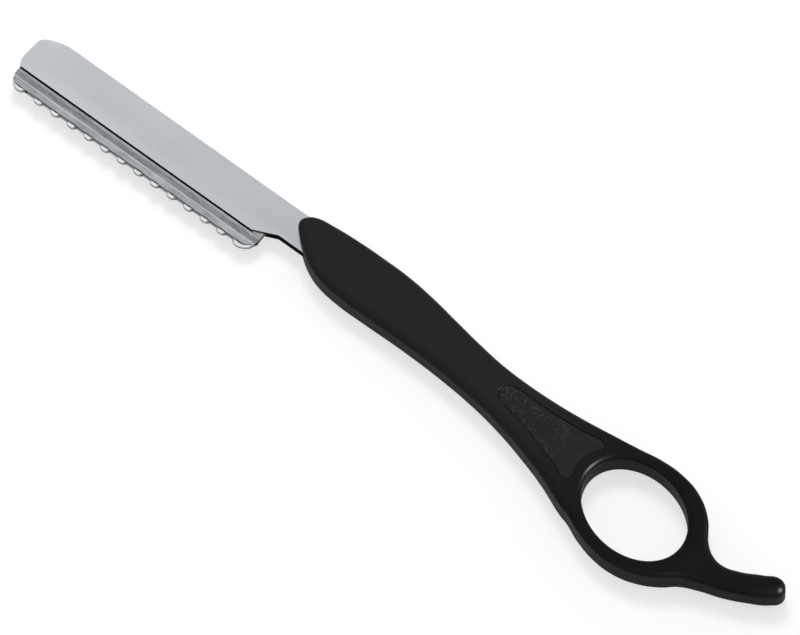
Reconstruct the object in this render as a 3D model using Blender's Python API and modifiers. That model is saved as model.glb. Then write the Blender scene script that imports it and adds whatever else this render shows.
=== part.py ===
"""Hair thinning razor: a folded steel blade holder with a comb guard and a blade,
held in a two-shell handle with a finger ring and a curved tail.

Metres. X runs from the holder's tip to the tail, +Y towards the spine, +Z up from
the face that the razor lies on. Plans are drawn with y = 0 at the holder's open edge.
"""

import bmesh
import bpy
from math import atan2, ceil, cos, floor, pi, radians, sin, tan
from mathutils import Vector

# Blade holder: steel sheet folded at the spine, two leaves open along the lower side
HOLDER_SHEET = 0.0006
HOLDER_WIDTH = 0.0111
HOLDER_FOLD_RADIUS = 0.0010
TIP_CORNER_RADIUS = 0.0005
TIP_CHIN_REACH = 0.0008  # the tip's end stands out past its lower corner by this much
TIP_CHIN_RISE = 0.0019
TIP_CHIN_RADIUS = 0.0025
TIP_SHOULDER_REACH = 0.00035
TIP_SHOULDER_RADIUS = 0.0013
TIP_DROP = 0.00285  # how far the tip's upper corner lies under the spine
TIP_SWEEP = 0.0052  # length over which the tip falls away from the spine
TIP_SWEEP_RADIUS = 0.0170
NECK_SETBACK = 0.0031  # the open edge turns up this far before the guard's end
NECK_RISE = 0.00275
NECK_RUN = 0.0061
NECK_RADIUS = 0.0025
NECK_SHOWN = 0.0021  # from the end of that rise to the handle
TANG_LENGTH = 0.0340  # inside the handle
TANG_STEP = 0.0016  # the tang is narrower than the holder by this much at the spine
TANG_STEP_RUN = 0.0033
TANG_CORNER_RADIUS = 0.0012

# Comb guard: thinner sheet folded at the teeth, its tongue between the holder's leaves
GUARD_SHEET = 0.0005
GUARD_LENGTH = 0.0727
GUARD_SETBACK = 0.0001
GUARD_SIDE_CLEARANCE = 0.00008  # between the tongue and each leaf
TONGUE_PINCH = 0.0008  # strip at the tongue's edge where its two walls close up
TONGUE_PINCH_GAP = 0.0001
PINCH_RUN = 0.0003
SHOULDER_START = 0.0005  # below the holder's open edge
SHOULDER_RUN = 0.0020
TOOTH_THICKNESS = 0.0022  # across the fold that makes the teeth
SLOT_EDGE = 0.00405  # below the holder's open edge
TOOTH_REACH = 0.00105
TOOTH_WIDTH = 0.0025  # at half its reach
TOOTH_FLARE = 0.00025  # each side of its root stands out, and its tip in, by this much
TOOTH_PITCH = 0.0050
FIRST_SLOT = 0.00275  # end bumper to the first tooth
TOOTH_TIP_RADIUS = 0.0012
TOOTH_ROOT_RADIUS = 0.0003
BUMPER_WIDTH = 0.0048
BUMPER_OUTER_RADIUS = 0.0030
BUMPER_INNER_RADIUS = 0.0009

# Blade
BLADE_LENGTH = 0.0620
BLADE_WIDTH = 0.0087
BLADE_THICKNESS = 0.00025
BLADE_EDGE_LAND = 0.00003
BLADE_GRIND = 0.0009
BLADE_PROUD = 0.0002  # the edge lies this far past the slots' ends
BLADE_SIDE_CLEARANCE = 0.000095  # to each wall of the tongue
BLADE_BACK_CLEARANCE = 0.00025  # to the strip where these walls close up

# Handle: two shells that meet at half thickness
HANDLE_LENGTH = 0.1491
HANDLE_DEPTH = 0.0297  # lowest point of the ring to the top of the grip
HANDLE_THICKNESS = 0.0088
HANDLE_EDGE_RADIUS = 0.00145
EDGE_LIMIT_SHARE = 0.46  # of the ring's wall, which both its edges round off
PARTING_GAP = 0.0003

# Along the grip, from the handle's front end to the ring, and across the handle's depth
FRONT_END_SHARES = ((0.133, -0.024), (0.089, 0.031), (0.053, 0.105), (0.023, 0.185), (0.002, 0.272),
                    (0.010, 0.332), (0.031, 0.377))
GRIP_TOP_SHARES = ((0.089, 0.407), (0.1595, 0.423), (0.243, 0.429), (0.330, 0.425), (0.414, 0.397),
                   (0.501, 0.353), (0.590, 0.309), (0.672, 0.277), (0.7545, 0.267), (0.843, 0.273),
                   (0.932, 0.294), (1.021, 0.327))
GRIP_LOW_SHARES = ((1.031, -0.416), (0.942, -0.306), (0.855, -0.223), (0.7545, -0.147),
                   (0.656, -0.099), (0.546, -0.070), (0.424, -0.058), (0.2975, -0.061),
                   (0.2055, -0.057))

# Along the tail, from the ring to the handle's end
TAIL_TOP_SHARES = ((0.063, 0.050), (0.182, -0.013), (0.324, -0.029), (0.498, 0.012), (0.710, 0.100),
                   (0.8775, 0.161))
TAIL_END_SHARES = ((0.974, 0.128), (1.000, 0.058), (0.910, -0.024))
TAIL_LOW_SHARES = ((0.710, -0.118), (0.472, -0.205), (0.240, -0.266), (0.047, -0.330))

# Finger ring
FINGER_HOLE_LENGTH = 0.02885
FINGER_HOLE_WIDTH = 0.0219
FINGER_HOLE_TURN = radians(-10.2)
FINGER_HOLE_PLACE_SHARES = (0.7265, -0.0845)
RING_WALL = 0.0032
RING_TOP_WALL_SHARES = {116: 1.04, 96: 0.95, 76: 1.12, 56: 1.37, 36: 1.53}
RING_LOW_WALL_SHARES = {322: 1.40, 303: 1.15, 283: 1.06, 263: 1.01, 243: 1.06, 226: 1.30}

# Grip field, the same on both faces: a shallow recess with a textured inlay
FIELD_DEPTH = 0.0013
INLAY_THICKNESS = 0.0009
INLAY_SIDE_GAP = 0.0002
INLAY_UNDER_GAP = 0.0001
FIELD_SHARES = ((0.713, 0.044), (0.710, 0.092), (0.723, 0.150), (0.7595, 0.177), (0.814, 0.173),
                (0.893, 0.181), (0.967, 0.204), (1.014, 0.221), (1.0265, 0.200), (1.011, 0.090),
                (0.999, -0.040), (1.007, -0.170), (0.9995, -0.213), (0.947, -0.168),
                (0.8795, -0.105), (0.8155, -0.045), (0.756, -0.009))

# Tang stiffener: flat plate between the leaves, running on into the grip
STIFFENER_FACE_CLEARANCE = 0.0002  # to each leaf of the tang
STIFFENER_FRONT_GAP = 0.0005  # to the guard's end
STIFFENER_EDGE_SETBACK = 0.0007  # behind the neck's lower edge
STIFFENER_TOP_SETBACK = 0.0021  # under the spine
STIFFENER_SCREW_GAP = 0.01455  # its end to the front screw's middle
STIFFENER_END_WIDTH = 0.0048
STIFFENER_END_DROP = 0.0042
STIFFENER_CORNER_RADIUS = 0.0008
POCKET_SIDE_CLEARANCE = 0.0003
POCKET_FACE_CLEARANCE = 0.00015

# Dowels through the tang
PIN_RADIUS = 0.0015
PIN_LENGTH = 0.0054
PIN_CHAMFER = 0.0002
PIN_CLEARANCE = 0.0001
PIN_END_GAP = 0.0002
PIN_PLACE_SHARES = (0.368, 0.838)  # along the tang

# Shell screws, from the rear, and the front shell's pegs
SCREW_HEAD_RADIUS = 0.0019
SCREW_HEAD_HEIGHT = 0.0012
SCREW_HEAD_CHAMFER = 0.0003
SCREW_RADIUS = 0.0010
SCREW_TIP_WALL = 0.0009  # plastic left between its point and the front field
SCREW_POINT = 0.0006
SCREW_CLEARANCE = 0.00015
SCREW_SEAT_GAP = 0.0001
CROSS_WIDTH = 0.0005
CROSS_LENGTH = 0.0020
CROSS_ARMS = {"long": (CROSS_LENGTH, CROSS_WIDTH), "short": (CROSS_WIDTH, CROSS_LENGTH)}
CROSS_DEPTH = 0.0006
SCREW_PLACE_SHARES = ((0.822, 0.058), (0.9535, 0.012))  # along the grip
PEG_RADIUS = 0.0012
PEG_LENGTH = 0.0018  # into the rear shell
PEG_CLEARANCE = 0.0001
PEG_WALL_SHARE = 0.656  # how far into the ring's wall a peg's middle lies
PEG_ANGLES = (139, 209, 350)
TAIL_PEG_SHARES = (0.614, -0.052)

OVERRUN = 0.0020  # how far a cutter runs past what it cuts
ROUND_SIDES = 24
CORNER_STEP = radians(30)

# Sizes that follow from the ones above
MIDDLE = HANDLE_THICKNESS / 2
TOOTH_TIP = SLOT_EDGE + TOOTH_REACH
FIRST_TOOTH = BUMPER_WIDTH + FIRST_SLOT + TOOTH_WIDTH / 2
TOOTH_COUNT = floor((GUARD_LENGTH - 2 * FIRST_TOOTH) / TOOTH_PITCH) + 1
BLADE_BACK = BLADE_WIDTH - SLOT_EDGE - BLADE_PROUD
TONGUE_DEPTH = BLADE_BACK + BLADE_BACK_CLEARANCE + TONGUE_PINCH
TONGUE_INNER = BLADE_THICKNESS / 2 + BLADE_SIDE_CLEARANCE
HOLDER_INNER = TONGUE_INNER + GUARD_SHEET + GUARD_SIDE_CLEARANCE
HOLDER_THICKNESS = 2 * (HOLDER_INNER + HOLDER_SHEET)
STIFFENER_THICKNESS = 2 * (HOLDER_INNER - STIFFENER_FACE_CLEARANCE)
HOLDER_EDGE_LENGTH = GUARD_SETBACK + GUARD_LENGTH - NECK_SETBACK
HANDLE_START = HOLDER_EDGE_LENGTH + NECK_RUN + NECK_SHOWN
FINGER_HOLE_X = FINGER_HOLE_PLACE_SHARES[0] * HANDLE_LENGTH
FINGER_HOLE_Y = FINGER_HOLE_PLACE_SHARES[1] * HANDLE_DEPTH
RING_REACH = FINGER_HOLE_LENGTH / 2 + RING_WALL
GRIP_LENGTH = FINGER_HOLE_X - RING_REACH
TAIL_START = FINGER_HOLE_X + RING_REACH
SCREW_SEAT = FIELD_DEPTH + SCREW_SEAT_GAP
SCREW_LENGTH = HANDLE_THICKNESS - FIELD_DEPTH - SCREW_TIP_WALL - SCREW_SEAT - SCREW_HEAD_HEIGHT


def new_collection(name):
    collection = bpy.data.collections.new(name)
    bpy.context.scene.collection.children.link(collection)
    return collection


def new_material(name, colour, roughness, metallic):
    material = bpy.data.materials.new(name)
    material.use_nodes = True
    shader = material.node_tree.nodes["Principled BSDF"]
    shader.inputs["Base Color"].default_value = (*colour, 1)
    shader.inputs["Roughness"].default_value = roughness
    shader.inputs["Metallic"].default_value = metallic
    return material


def add_part(name, mesh, material, location=(0, 0, 0), parent=None):
    part = bpy.data.objects.new(name, mesh)
    parts.objects.link(part)
    mesh.materials.clear()
    mesh.materials.append(material)
    part.location = location
    part.parent = parent or razor
    mesh.shade_smooth()
    mesh.set_sharp_from_angle(angle=radians(35))
    return part


def add_cutter(name, mesh, location=(0, 0, 0)):
    cutter = bpy.data.objects.new(name, mesh)
    cutters.objects.link(cutter)
    cutter.location = location
    cutter.parent = razor
    cutter.hide_render = True
    cutter.display_type = "WIRE"
    return cutter


def combine(part, operation, other):
    step = part.modifiers.new(f"{operation.lower()} {other.name}", "BOOLEAN")
    step.operation = operation
    step.solver = "EXACT"
    step.object = other


def mesh_from(build):
    """A mesh filled by build(bm), with its faces pointing out."""
    mesh = bpy.data.meshes.new("shape")
    bm = bmesh.new()
    build(bm)
    bmesh.ops.recalc_face_normals(bm, faces=bm.faces)
    bm.to_mesh(mesh)
    bm.free()
    return mesh


def plate(loops, thickness, edge_radius=0, grow=0, smooth=False):
    """A plate centred on z = 0 with these closed loops as its plan, its edges rounded."""
    curve = bpy.data.curves.new("outline", "CURVE")
    curve.dimensions = "2D"
    curve.fill_mode = "BOTH"
    curve.extrude = thickness / 2 - edge_radius
    curve.bevel_depth = edge_radius
    curve.bevel_resolution = 2
    curve.offset = grow - edge_radius
    curve.resolution_u = 3
    for loop in loops:
        spline = curve.splines.new("BEZIER" if smooth else "POLY")
        points = spline.bezier_points if smooth else spline.points
        points.add(len(loop) - 1)
        for point, (x, y) in zip(points, loop):
            point.co = (x, y, 0) if smooth else (x, y, 0, 1)
            if smooth:
                point.handle_left_type = point.handle_right_type = "AUTO"
        spline.use_cyclic_u = True
    drawing = bpy.data.objects.new("outline", curve)
    bpy.context.scene.collection.objects.link(drawing)
    graph = bpy.context.evaluated_depsgraph_get()
    mesh = bpy.data.meshes.new_from_object(drawing.evaluated_get(graph))
    bpy.data.objects.remove(drawing)
    bm = bmesh.new()
    bm.from_mesh(mesh)
    bmesh.ops.remove_doubles(bm, verts=bm.verts, dist=thickness / 1000)
    bmesh.ops.recalc_face_normals(bm, faces=bm.faces)
    bm.to_mesh(mesh)
    bm.free()
    return mesh


def filleted(corners):
    """Points round a closed outline whose corners (x, y, radius) are rounded by arcs."""
    points = []
    for index, (x, y, radius) in enumerate(corners):
        corner = Vector((x, y))
        before = (Vector(corners[index - 1][:2]) - corner).normalized()
        after = (Vector(corners[(index + 1) % len(corners)][:2]) - corner).normalized()
        opening = before.angle(after)
        if not radius:
            points.append((x, y))
            continue
        centre = corner + (before + after).normalized() * radius / sin(opening / 2)
        reach = radius / tan(opening / 2)
        start = corner + before * reach - centre
        turn = (pi - opening) * (1 if before.cross(after) < 0 else -1)
        steps = max(2, ceil(abs(turn) / CORNER_STEP))
        first = atan2(start.y, start.x)
        for step in range(steps + 1):
            angle = first + turn * step / steps
            points.append((centre.x + radius * cos(angle), centre.y + radius * sin(angle)))
    return points


def folded_sheet(section, length, sheet):
    """Sheet of even thickness along a section (y, z), from one overrun before x = 0 to
    one past length."""
    def build(bm):
        ends = (-OVERRUN, length + OVERRUN)
        near, far = [[bm.verts.new((x, y, z)) for y, z in section] for x in ends]
        for corners in zip(near, far, far[1:], near[1:]):
            bm.faces.new(corners)
    guide = bpy.data.objects.new("guide", mesh_from(build))
    bpy.context.scene.collection.objects.link(guide)
    wall = guide.modifiers.new("sheet", "SOLIDIFY")
    wall.thickness = sheet
    wall.offset = 0
    wall.use_even_offset = True
    graph = bpy.context.evaluated_depsgraph_get()
    mesh = bpy.data.meshes.new_from_object(guide.evaluated_get(graph))
    bpy.data.objects.remove(guide)
    return mesh


def arc(centre_y, centre_z, radius, start, end, steps):
    angles = [start + (end - start) * step / steps for step in range(steps + 1)]
    return [(centre_y + radius * cos(angle), centre_z + radius * sin(angle)) for angle in angles]


def rod(radius, length):
    return mesh_from(lambda bm: bmesh.ops.create_cone(
        bm, cap_ends=True, segments=ROUND_SIDES, radius1=radius, radius2=radius, depth=length))


def block(size):
    def build(bm):
        bmesh.ops.create_cube(bm, size=1)
        bmesh.ops.scale(bm, vec=size, verts=bm.verts)
    return mesh_from(build)


def on_grip(shares):
    return (shares[0] * GRIP_LENGTH, shares[1] * HANDLE_DEPTH)


def on_tail(shares):
    return (TAIL_START + shares[0] * (HANDLE_LENGTH - TAIL_START), shares[1] * HANDLE_DEPTH)


def on_ring(angle, outside):
    """The point this far outside the finger hole's edge, at an angle in degrees round it."""
    along = (FINGER_HOLE_LENGTH / 2 + outside) * cos(radians(angle) - FINGER_HOLE_TURN)
    across = (FINGER_HOLE_WIDTH / 2 + outside) * sin(radians(angle) - FINGER_HOLE_TURN)
    return (FINGER_HOLE_X + along * cos(FINGER_HOLE_TURN) - across * sin(FINGER_HOLE_TURN),
            FINGER_HOLE_Y + along * sin(FINGER_HOLE_TURN) + across * cos(FINGER_HOLE_TURN))


def holder_plan():
    """The holder's plan, its lower tip corner at x = 0, with the tang inside the handle."""
    neck_start = HOLDER_EDGE_LENGTH
    neck_end = HOLDER_EDGE_LENGTH + NECK_RUN
    step_start = HANDLE_START - TANG_STEP_RUN / 3
    end = HANDLE_START + TANG_LENGTH
    top = HOLDER_WIDTH - TANG_STEP
    return filleted((
        (0, 0, TIP_CORNER_RADIUS),
        (-TIP_CHIN_REACH, TIP_CHIN_RISE, TIP_CHIN_RADIUS),
        (-TIP_SHOULDER_REACH, HOLDER_WIDTH - TIP_DROP, TIP_SHOULDER_RADIUS),
        (TIP_SWEEP, HOLDER_WIDTH, TIP_SWEEP_RADIUS),
        (step_start, HOLDER_WIDTH, 0),
        (step_start + TANG_STEP_RUN, top, 0),
        (end, top, TANG_CORNER_RADIUS),
        (end, NECK_RISE, TANG_CORNER_RADIUS),
        (neck_end, NECK_RISE, NECK_RADIUS),
        (neck_start, 0, NECK_RADIUS)))


def stiffener_plan():
    blade_overhang = max(0, BLADE_LENGTH - GUARD_LENGTH) / 2
    start = GUARD_SETBACK + GUARD_LENGTH + blade_overhang + STIFFENER_FRONT_GAP
    bend = HANDLE_START + TANG_LENGTH
    end = screw_places()["front"][0] - STIFFENER_SCREW_GAP
    low = NECK_RISE + STIFFENER_EDGE_SETBACK
    top = HOLDER_WIDTH - STIFFENER_TOP_SETBACK
    end_top = top - STIFFENER_END_DROP
    radius = STIFFENER_CORNER_RADIUS
    return filleted((
        (start, low, radius), (start, top, radius), (bend, top, radius), (end, end_top, radius),
        (end, end_top - STIFFENER_END_WIDTH, radius), (bend, low, radius)))


def tooth(middle, width, left_radius, right_radius):
    """One tooth's corners, from its left root to its right root."""
    root = width / 2 + TOOTH_FLARE
    tip = width / 2 - TOOTH_FLARE
    return [(middle - root, -SLOT_EDGE, TOOTH_ROOT_RADIUS),
            (middle - tip, -TOOTH_TIP, left_radius), (middle + tip, -TOOTH_TIP, right_radius),
            (middle + root, -SLOT_EDGE, TOOTH_ROOT_RADIUS)]


def guard_plan():
    """The guard's plan from its tip end at x = 0: the strip, its teeth and the end bumpers."""
    first = tooth(BUMPER_WIDTH / 2, BUMPER_WIDTH, BUMPER_OUTER_RADIUS, BUMPER_INNER_RADIUS)
    last = tooth(GUARD_LENGTH - BUMPER_WIDTH / 2, BUMPER_WIDTH, BUMPER_INNER_RADIUS,
                 BUMPER_OUTER_RADIUS)
    corners = [(GUARD_LENGTH, TONGUE_DEPTH, 0), (0, TONGUE_DEPTH, 0),
               (0, -TOOTH_TIP, BUMPER_OUTER_RADIUS)] + first[2:]
    for index in range(TOOTH_COUNT):
        middle = FIRST_TOOTH + TOOTH_PITCH * index
        corners += tooth(middle, TOOTH_WIDTH, TOOTH_TIP_RADIUS, TOOTH_TIP_RADIUS)
    return filleted(corners + last[:2] + [(GUARD_LENGTH, -TOOTH_TIP, BUMPER_OUTER_RADIUS)])


def handle_plan():
    top = [on_ring(angle, RING_WALL * share) for angle, share in RING_TOP_WALL_SHARES.items()]
    low = [on_ring(angle, RING_WALL * share) for angle, share in RING_LOW_WALL_SHARES.items()]
    return [*map(on_grip, FRONT_END_SHARES + GRIP_TOP_SHARES), *top,
            *map(on_tail, TAIL_TOP_SHARES + TAIL_END_SHARES + TAIL_LOW_SHARES), *low,
            *map(on_grip, GRIP_LOW_SHARES)]


def finger_hole_plan():
    return [on_ring(-360 * step / 16, 0) for step in range(16)]


def make_blade_holder():
    middle = (HOLDER_THICKNESS - HOLDER_SHEET) / 2
    bend = HOLDER_FOLD_RADIUS - HOLDER_SHEET / 2
    spine = HOLDER_WIDTH - HOLDER_SHEET / 2
    section = [(-OVERRUN, middle),
               *arc(spine - bend, middle - bend, bend, pi / 2, 0, 4),
               *arc(spine - bend, bend - middle, bend, 0, -pi / 2, 4),
               (-OVERRUN, -middle)]
    mesh = folded_sheet(section, HANDLE_START + TANG_LENGTH, HOLDER_SHEET)
    holder = add_part("blade_holder", mesh, bright_steel, (0, 0, MIDDLE))
    combine(holder, "INTERSECT", add_cutter(
        "holder_blank", plate([holder_plan()], HOLDER_THICKNESS + OVERRUN), (0, 0, MIDDLE)))
    return holder


def make_comb_guard():
    tongue = TONGUE_INNER + GUARD_SHEET / 2
    pinch = (TONGUE_PINCH_GAP + GUARD_SHEET) / 2
    bend = (TOOTH_THICKNESS - GUARD_SHEET) / 2
    bend_place = bend + GUARD_SHEET / 2 - TOOTH_TIP
    front = [(TONGUE_DEPTH + OVERRUN, pinch), (TONGUE_DEPTH - TONGUE_PINCH, pinch),
             (TONGUE_DEPTH - TONGUE_PINCH - PINCH_RUN, tongue), (-SHOULDER_START, tongue),
             (-SHOULDER_START - SHOULDER_RUN, bend)]
    rear = [(y, -z) for y, z in reversed(front)]
    section = front + arc(bend_place, 0, bend, pi / 2, 3 * pi / 2, 6) + rear
    mesh = folded_sheet(section, GUARD_LENGTH, GUARD_SHEET)
    place = (GUARD_SETBACK, 0, MIDDLE)
    guard = add_part("comb_guard", mesh, brushed_steel, place)
    combine(guard, "INTERSECT", add_cutter(
        "guard_blank", plate([guard_plan()], TOOTH_THICKNESS + OVERRUN), place))
    return guard


def make_blade(guard):
    """Flat strip with its edge ground from both sides, standing in the guard's fold."""
    edge = -SLOT_EDGE - BLADE_PROUD
    half = BLADE_THICKNESS / 2
    section = ((edge, -BLADE_EDGE_LAND / 2), (edge + BLADE_GRIND, -half), (edge + BLADE_WIDTH, -half),
               (edge + BLADE_WIDTH, half), (edge + BLADE_GRIND, half), (edge, BLADE_EDGE_LAND / 2))

    def build(bm):
        near = bm.faces.new([bm.verts.new((0, y, z)) for y, z in section])
        swept = bmesh.ops.extrude_face_region(bm, geom=[near])["geom"]
        ends = [item for item in swept if isinstance(item, bmesh.types.BMVert)]
        bmesh.ops.translate(bm, verts=ends, vec=(BLADE_LENGTH, 0, 0))
    start = (GUARD_LENGTH - BLADE_LENGTH) / 2
    return add_part("thinning_blade", mesh_from(build), blade_steel, (start, 0, 0), guard)


def make_stiffener():
    return add_part("tang_stiffener", plate([stiffener_plan()], STIFFENER_THICKNESS), raw_steel,
                    (0, 0, MIDDLE))


def pin_places():
    """The dowels stand along the tang's middle line."""
    height = (NECK_RISE + HOLDER_WIDTH - TANG_STEP) / 2
    return {name: (HANDLE_START + share * TANG_LENGTH, height, MIDDLE)
            for name, share in zip(("front", "rear"), PIN_PLACE_SHARES)}


def make_pins(holder, stiffener):
    for name, place in pin_places().items():
        pin = add_part(f"tang_pin_{name}", rod(PIN_RADIUS, PIN_LENGTH), raw_steel, place)
        chamfer = pin.modifiers.new("chamfer", "BEVEL")
        chamfer.width = PIN_CHAMFER
        chamfer.segments = 1
        hole = add_cutter(f"tang_hole_{name}",
                          rod(PIN_RADIUS + PIN_CLEARANCE, HOLDER_THICKNESS + OVERRUN), place)
        combine(holder, "DIFFERENCE", hole)
        combine(stiffener, "DIFFERENCE", hole)


def screw_places():
    return {name: (HANDLE_START + x, y)
            for name, (x, y) in zip(("front", "rear"), map(on_grip, SCREW_PLACE_SHARES))}


def screw_mesh():
    """A screw with its head down: the head's outer face at z = 0, the point at the top."""
    top = SCREW_HEAD_HEIGHT + SCREW_LENGTH
    profile = ((0, top), (SCREW_RADIUS - SCREW_POINT / 2, top), (SCREW_RADIUS, top - SCREW_POINT),
               (SCREW_RADIUS, SCREW_HEAD_HEIGHT), (SCREW_HEAD_RADIUS, SCREW_HEAD_HEIGHT),
               (SCREW_HEAD_RADIUS, SCREW_HEAD_CHAMFER),
               (SCREW_HEAD_RADIUS - SCREW_HEAD_CHAMFER, 0), (0, 0))
    mesh = bpy.data.meshes.new("screw")
    mesh.from_pydata([(x, 0, z) for x, z in profile],
                     [(index, index + 1) for index in range(len(profile) - 1)], [])
    return mesh


def make_screws():
    for name, (x, y) in screw_places().items():
        screw = add_part(f"shell_screw_{name}", screw_mesh(), screw_steel, (x, y, SCREW_SEAT))
        turn = screw.modifiers.new("turn", "SCREW")
        turn.steps = turn.render_steps = ROUND_SIDES
        turn.use_merge_vertices = True
        turn.merge_threshold = SCREW_RADIUS / 100
        for arm, (length, width) in CROSS_ARMS.items():
            slot = add_cutter(f"cross_{arm}_{name}", block((length, width, 2 * CROSS_DEPTH)),
                              (x, y, SCREW_SEAT))
            combine(screw, "DIFFERENCE", slot)


def field_cutter(side):
    face = MIDDLE * (1 + side)
    mesh = plate([[*map(on_grip, FIELD_SHARES)]], 2 * FIELD_DEPTH, smooth=True)
    return add_cutter("front_field" if side > 0 else "rear_field", mesh, (HANDLE_START, 0, face))


def make_inlay(name, side):
    mesh = plate([[*map(on_grip, FIELD_SHARES)]], INLAY_THICKNESS, grow=-INLAY_SIDE_GAP,
                 smooth=True)
    inner = MIDDLE - FIELD_DEPTH + INLAY_UNDER_GAP + INLAY_THICKNESS / 2
    return add_part(name, mesh, grip_rubber, (HANDLE_START, 0, MIDDLE + side * inner))


def half_cutter(side):
    """A block over the other half of the handle, as far as the parting gap."""
    depth = MIDDLE + OVERRUN
    size = (HANDLE_LENGTH + 2 * OVERRUN, 2 * HANDLE_DEPTH, depth)
    place = (HANDLE_START + HANDLE_LENGTH / 2, 0, MIDDLE - side * (depth - PARTING_GAP) / 2)
    return add_cutter("rear_half" if side > 0 else "front_half", block(size), place)


def make_shell(name, side, pockets):
    """One half of the handle; side is 1 for the front and -1 for the rear."""
    edge_radius = min(HANDLE_EDGE_RADIUS, RING_WALL * EDGE_LIMIT_SHARE)
    blank = plate([handle_plan(), finger_hole_plan()], HANDLE_THICKNESS, edge_radius, smooth=True)
    shell = add_part(name, blank, black_plastic, (HANDLE_START, 0, MIDDLE))
    combine(shell, "DIFFERENCE", half_cutter(side))
    combine(shell, "DIFFERENCE", field_cutter(side))
    for pocket in pockets:
        combine(shell, "DIFFERENCE", pocket)
    return shell


def peg_places():
    places = [on_ring(angle, RING_WALL * PEG_WALL_SHARE) for angle in PEG_ANGLES]
    places.append(on_tail(TAIL_PEG_SHARES))
    return [(HANDLE_START + x, y) for x, y in places]


def make_handle():
    tang_room = HOLDER_THICKNESS + 2 * POCKET_FACE_CLEARANCE
    plate_room = STIFFENER_THICKNESS + 2 * POCKET_FACE_CLEARANCE
    centre = (0, 0, MIDDLE)
    pockets = [
        add_cutter("tang_pocket", plate([holder_plan()], tang_room, grow=POCKET_SIDE_CLEARANCE), centre),
        add_cutter("stiffener_pocket",
                   plate([stiffener_plan()], plate_room, grow=POCKET_SIDE_CLEARANCE), centre)]
    for name, place in pin_places().items():
        socket = rod(PIN_RADIUS + PIN_CLEARANCE, PIN_LENGTH + 2 * PIN_END_GAP)
        pockets.append(add_cutter(f"pin_socket_{name}", socket, place))
    front = make_shell("handle_front_shell", 1, pockets)
    rear = make_shell("handle_rear_shell", -1, pockets)

    for name, (x, y) in screw_places().items():
        head_room = SCREW_HEAD_HEIGHT + SCREW_SEAT_GAP
        head = rod(SCREW_HEAD_RADIUS + SCREW_CLEARANCE, 2 * head_room)
        shank_top = SCREW_SEAT + SCREW_HEAD_HEIGHT + SCREW_LENGTH + SCREW_CLEARANCE
        shank = rod(SCREW_RADIUS + SCREW_CLEARANCE, shank_top)
        combine(rear, "DIFFERENCE", add_cutter(f"head_seat_{name}", head, (x, y, SCREW_SEAT)))
        shank_hole = add_cutter(f"screw_hole_{name}", shank, (x, y, shank_top / 2))
        combine(rear, "DIFFERENCE", shank_hole)
        combine(front, "DIFFERENCE", shank_hole)

    for index, (x, y) in enumerate(peg_places()):
        peg = rod(PEG_RADIUS, 2 * PEG_LENGTH)
        combine(front, "UNION", add_cutter(f"peg_{index + 1}", peg, (x, y, MIDDLE)))
        socket = rod(PEG_RADIUS + PEG_CLEARANCE, 2 * (PEG_LENGTH + PEG_CLEARANCE))
        combine(rear, "DIFFERENCE", add_cutter(f"peg_socket_{index + 1}", socket, (x, y, MIDDLE)))


def centre_frame():
    """Moves the whole razor so that the origin lies under the middle of its box."""
    bpy.context.view_layer.update()
    graph = bpy.context.evaluated_depsgraph_get()
    corners = []
    for part in parts.objects:
        if part.type == "MESH":
            solid = part.evaluated_get(graph)
            corners += [solid.matrix_world @ Vector(corner) for corner in solid.bound_box]
    for axis in (0, 1):
        values = [corner[axis] for corner in corners]
        razor.location[axis] = -(min(values) + max(values)) / 2


for old in list(bpy.data.objects):
    bpy.data.objects.remove(old)
parts = new_collection("hair_thinning_razor")
cutters = new_collection("cutters")
cutters.hide_render = True
razor = bpy.data.objects.new("razor", None)
parts.objects.link(razor)

bright_steel = new_material("bright_steel", (0.62, 0.65, 0.67), 0.22, 1)
brushed_steel = new_material("brushed_steel", (0.42, 0.44, 0.46), 0.35, 1)
blade_steel = new_material("blade_steel", (0.55, 0.57, 0.60), 0.20, 1)
raw_steel = new_material("raw_steel", (0.30, 0.31, 0.33), 0.45, 1)
screw_steel = new_material("screw_steel", (0.35, 0.35, 0.36), 0.40, 1)
black_plastic = new_material("black_plastic", (0.012, 0.012, 0.013), 0.38, 0)
grip_rubber = new_material("grip_rubber", (0.022, 0.022, 0.025), 0.80, 0)

blade_holder = make_blade_holder()
comb_guard = make_comb_guard()
make_blade(comb_guard)
tang_stiffener = make_stiffener()
make_pins(blade_holder, tang_stiffener)
make_screws()
make_handle()
make_inlay("grip_inlay_front", 1)
make_inlay("grip_inlay_rear", -1)
centre_frame()
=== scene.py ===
from math import cos, pi, radians, sin

import bmesh
import bpy
import numpy as np
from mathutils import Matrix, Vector
from mathutils.geometry import delaunay_2d_cdt


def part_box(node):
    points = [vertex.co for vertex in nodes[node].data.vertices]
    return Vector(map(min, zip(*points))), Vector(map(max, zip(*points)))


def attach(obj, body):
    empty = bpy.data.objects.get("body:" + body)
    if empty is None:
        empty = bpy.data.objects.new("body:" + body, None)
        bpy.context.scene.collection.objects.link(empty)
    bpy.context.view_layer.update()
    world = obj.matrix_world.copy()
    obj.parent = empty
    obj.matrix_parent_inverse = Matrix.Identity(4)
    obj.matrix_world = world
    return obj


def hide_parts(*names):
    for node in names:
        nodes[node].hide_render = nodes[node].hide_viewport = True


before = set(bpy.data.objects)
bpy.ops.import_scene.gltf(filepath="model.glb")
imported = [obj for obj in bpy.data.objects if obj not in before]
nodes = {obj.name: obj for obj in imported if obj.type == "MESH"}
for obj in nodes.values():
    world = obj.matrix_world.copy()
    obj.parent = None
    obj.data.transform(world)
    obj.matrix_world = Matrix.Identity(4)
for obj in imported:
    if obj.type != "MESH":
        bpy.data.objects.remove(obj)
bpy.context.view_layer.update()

# Shapes are drawn in millimetres from the holder's lower tip corner, x towards the tail, y towards
# the spine and z up from the table. The guard starts a little behind that corner.
mm = 0.001
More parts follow.
